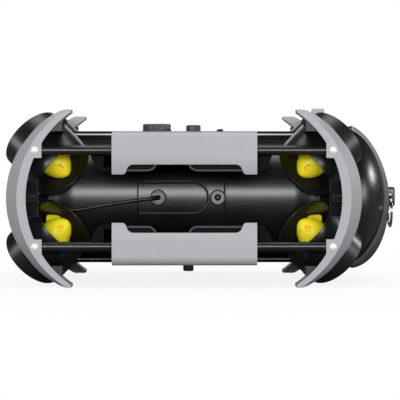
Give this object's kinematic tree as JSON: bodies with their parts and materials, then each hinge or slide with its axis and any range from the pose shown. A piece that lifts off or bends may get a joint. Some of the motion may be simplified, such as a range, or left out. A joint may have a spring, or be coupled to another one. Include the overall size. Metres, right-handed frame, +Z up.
{
  "type": "underwater inspection rov",
  "caption": "Compact underwater inspection vehicle with vectored ducted thrusters round a pressure hull, end guards as feet, a pull-out battery and a tether lug.",
  "frame": {"origin": "bottom centre of the bounding box, on the plane of the feet", "axes": "+X towards the battery cap at the rear, +Y across to the far side, +Z up"},
  "size_m": [0.3791, 0.267, 0.17],
  "materials": {
    "black_plastic": "fine moulded satin black",
    "black_tube": "smooth semi-gloss black tube",
    "grey_plastic": "fine moulded satin grey",
    "yellow_plastic": "smooth moulded yellow",
    "motor_black": "black coated motor can",
    "steel": "polished stainless steel",
    "gloss_black": "polished black",
    "knob_grey": "knurled dark grey rubber",
    "clear": "clear glass",
    "reflector": "bright aluminium cup",
    "camera_black": "flat black",
    "board_green": "coated circuit board",
    "battery_wrap": "dark pack sleeve",
    "seal_rubber": "soft black rubber",
    "lead_rubber": "black cable jacket"
  },
  "bodies": {
    "vehicle": {"camera_lens": "clear", "camera_module": "camera_black", "camera_window": "clear", "circuit_board": "board_green", "corner_tube_lower_far": "black_tube", "corner_tube_lower_near": "black_tube", "corner_tube_upper_far": "black_tube", "corner_tube_upper_near": "black_tube", "cradles_lower": "black_plastic", "cradles_upper": "black_plastic", "duct_clips": "black_plastic", "duct_front_far_lower": "black_plastic", "duct_front_far_upper": "black_plastic", "duct_front_near_lower": "black_plastic", "duct_front_near_upper": "black_plastic", "duct_rear_far_lower": "black_plastic", "duct_rear_far_upper": "black_plastic", "duct_rear_near_lower": "black_plastic", "duct_rear_near_upper": "black_plastic", "end_frame_front": "black_plastic", "end_frame_rear": "black_plastic", "end_guard_front_far": "grey_plastic", "end_guard_front_near": "grey_plastic", "end_guard_rear_far": "grey_plastic", "end_guard_rear_near": "grey_plastic", "front_bezel": "black_plastic", "guard_bolts": "steel", "hull_tube": "black_plastic", "keel_rail": "black_plastic", "lamp_housings": "reflector", "lamp_lenses": "clear", "lead_glands": "black_plastic", "mid_collar": "black_plastic", "motor_pods": "motor_black", "side_lead": "lead_rubber", "side_shell_lower_far": "grey_plastic", "side_shell_lower_near": "grey_plastic", "side_shell_upper_far": "grey_plastic", "side_shell_upper_near": "grey_plastic", "tether_lug": "grey_plastic", "top_rail": "black_plastic", "vent_plug": "black_plastic"},
    "battery_pack": {"battery_pack": "battery_wrap"},
    "battery_cap": {"battery_cap": "gloss_black", "cap_band": "gloss_black", "cap_seals": "seal_rubber"},
    "pull_ring": {"pull_ring": "steel"},
    "port_cap": {"port_cap": "knob_grey"},
    "small_knob": {"small_knob": "knob_grey"},
    "keel_plug": {"keel_plug": "knob_grey"},
    "slide_switch": {"slide_switch": "black_plastic"},
    "propeller_front_far_lower": {"propeller_front_far_lower": "yellow_plastic"},
    "propeller_front_far_upper": {"propeller_front_far_upper": "yellow_plastic"},
    "propeller_front_near_lower": {"propeller_front_near_lower": "yellow_plastic"},
    "propeller_front_near_upper": {"propeller_front_near_upper": "yellow_plastic"},
    "propeller_rear_far_lower": {"propeller_rear_far_lower": "yellow_plastic"},
    "propeller_rear_far_upper": {"propeller_rear_far_upper": "yellow_plastic"},
    "propeller_rear_near_lower": {"propeller_rear_near_lower": "yellow_plastic"},
    "propeller_rear_near_upper": {"propeller_rear_near_upper": "yellow_plastic"}
  },
  "joints": [
    {"name": "spin_front_far_lower", "type": "hinge", "parent": "vehicle", "child": "propeller_front_far_lower", "pos_m": [-0.14951, 0.0818, 0.041], "axis": [-0.6363, -0.4362, -0.6363], "continuous": true},
    {"name": "spin_front_far_upper", "type": "hinge", "parent": "vehicle", "child": "propeller_front_far_upper", "pos_m": [-0.14951, 0.0818, 0.124], "axis": [-0.6363, -0.4362, 0.6363], "continuous": true},
    {"name": "spin_front_near_lower", "type": "hinge", "parent": "vehicle", "child": "propeller_front_near_lower", "pos_m": [-0.14951, -0.0818, 0.041], "axis": [-0.6363, 0.4362, -0.6363], "continuous": true},
    {"name": "spin_front_near_upper", "type": "hinge", "parent": "vehicle", "child": "propeller_front_near_upper", "pos_m": [-0.14951, -0.0818, 0.124], "axis": [-0.6363, 0.4362, 0.6363], "continuous": true},
    {"name": "spin_rear_far_lower", "type": "hinge", "parent": "vehicle", "child": "propeller_rear_far_lower", "pos_m": [0.10909, 0.0818, 0.041], "axis": [0.6363, -0.4362, -0.6363], "continuous": true},
    {"name": "spin_rear_far_upper", "type": "hinge", "parent": "vehicle", "child": "propeller_rear_far_upper", "pos_m": [0.10909, 0.0818, 0.124], "axis": [0.6363, -0.4362, 0.6363], "continuous": true},
    {"name": "spin_rear_near_lower", "type": "hinge", "parent": "vehicle", "child": "propeller_rear_near_lower", "pos_m": [0.10909, -0.0818, 0.041], "axis": [0.6363, 0.4362, -0.6363], "continuous": true},
    {"name": "spin_rear_near_upper", "type": "hinge", "parent": "vehicle", "child": "propeller_rear_near_upper", "pos_m": [0.10909, -0.0818, 0.124], "axis": [0.6363, 0.4362, 0.6363], "continuous": true},
    {"name": "battery_slide", "type": "slide", "parent": "vehicle", "child": "battery_pack", "axis": [1, 0, 0], "range_m": [0, 0.15]},
    {"name": "cap_turn", "type": "hinge", "parent": "battery_pack", "child": "battery_cap", "pos_m": [0.11979, 0, 0.0825], "axis": [1, 0, 0], "range_deg": [0, 25]},
    {"name": "ring_swing", "type": "hinge", "parent": "battery_cap", "child": "pull_ring", "pos_m": [0.18499, 0, 0.0832], "axis": [0, -1, 0], "range_deg": [0, 150]},
    {"name": "port_cap_turn", "type": "hinge", "parent": "vehicle", "child": "port_cap", "pos_m": [-0.04741, 0, 0.147], "axis": [0, 0, 1], "range_deg": [0, 90]},
    {"name": "small_knob_turn", "type": "hinge", "parent": "vehicle", "child": "small_knob", "pos_m": [-0.01091, 0, 0.147], "axis": [0, 0, 1], "range_deg": [0, 180]},
    {"name": "keel_plug_turn", "type": "hinge", "parent": "vehicle", "child": "keel_plug", "pos_m": [-0.01611, 0, 0.018], "axis": [0, 0, -1], "range_deg": [0, 270]},
    {"name": "switch_slide", "type": "slide", "parent": "vehicle", "child": "slide_switch", "axis": [1, 0, 0], "range_m": [0, 0.004]}
  ]
}
